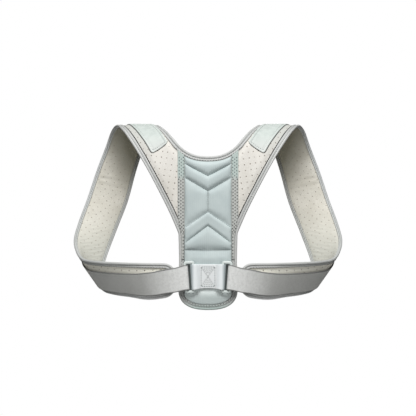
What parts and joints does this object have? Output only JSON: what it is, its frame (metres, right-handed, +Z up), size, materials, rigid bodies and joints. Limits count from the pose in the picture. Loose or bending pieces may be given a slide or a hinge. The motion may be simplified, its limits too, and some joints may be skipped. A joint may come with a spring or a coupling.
{
  "type": "clavicle brace",
  "caption": "Clavicle brace in its worn form: quilted back panel with padded straps that loop round each shoulder to rings and webbing on the back.",
  "frame": {"origin": "midway between the undersides of the two straps on the shoulder tops, where the wearer carries it", "axes": "+X to the wearer's right, +Y forward to the chest, +Z up; the back panel faces -Y"},
  "size_m": [0.4306, 0.1671, 0.2882],
  "materials": {
    "neoprene": "perforated matte foam fabric",
    "quilting": "satin quilted fabric",
    "binding": "matte folded tape",
    "seam_tape": "matte stitched tape",
    "tab": "soft matte loop fabric",
    "webbing": "ribbed woven webbing",
    "keeper": "satin woven webbing",
    "ring": "pale satin plastic"
  },
  "bodies": {
    "root": {"back_panel": "neoprene", "back_pad": "quilting", "ring_keeper": "keeper", "edge_binding": "binding", "shoulder_strap_left": "neoprene", "shoulder_tab_left": "tab", "seam_tape_left": "seam_tape", "webbing_left": "webbing", "ring_left": "ring", "shoulder_strap_right": "neoprene", "shoulder_tab_right": "tab", "seam_tape_right": "seam_tape", "webbing_right": "webbing", "ring_right": "ring"}
  },
  "joints": []
}
